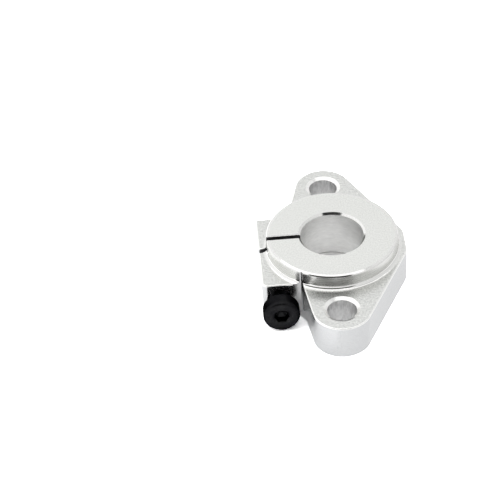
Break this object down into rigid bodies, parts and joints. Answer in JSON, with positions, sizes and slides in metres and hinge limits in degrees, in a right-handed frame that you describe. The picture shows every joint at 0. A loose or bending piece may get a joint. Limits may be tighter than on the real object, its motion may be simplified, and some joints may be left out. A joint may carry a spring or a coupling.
{
  "type": "flange shaft support block",
  "caption": "Slit flange block that stands on its flange, is bolted through its ears and clamps the end of a linear shaft with one screw.",
  "frame": {"origin": "on the shaft's axis, in the plane of the mounting face, midway between the two mounting holes", "axes": "+Z along the shaft, away from the mounting face; +Y along the line of the two mounting holes, away from the screw's head; -X towards the slit clamp lug"},
  "size_m": [0.0283, 0.047, 0.01],
  "materials": {
    "blasted_aluminium": "fine blasted faces, satin drawn flanks, bright turned and bored surfaces",
    "black_oxide_steel": "black oxide on a cold-headed steel screw, slightly oily"
  },
  "bodies": {
    "support": {"support_body": "blasted_aluminium"},
    "screw": {"clamp_screw": "black_oxide_steel"}
  },
  "joints": [
    {"name": "clamp_screw_turn", "type": "hinge", "parent": "support", "child": "screw", "pos_m": [-0.0109, -0.0103, 0.0035], "axis": [0, -1, 0], "range_deg": [-1180, 1360]}
  ]
}
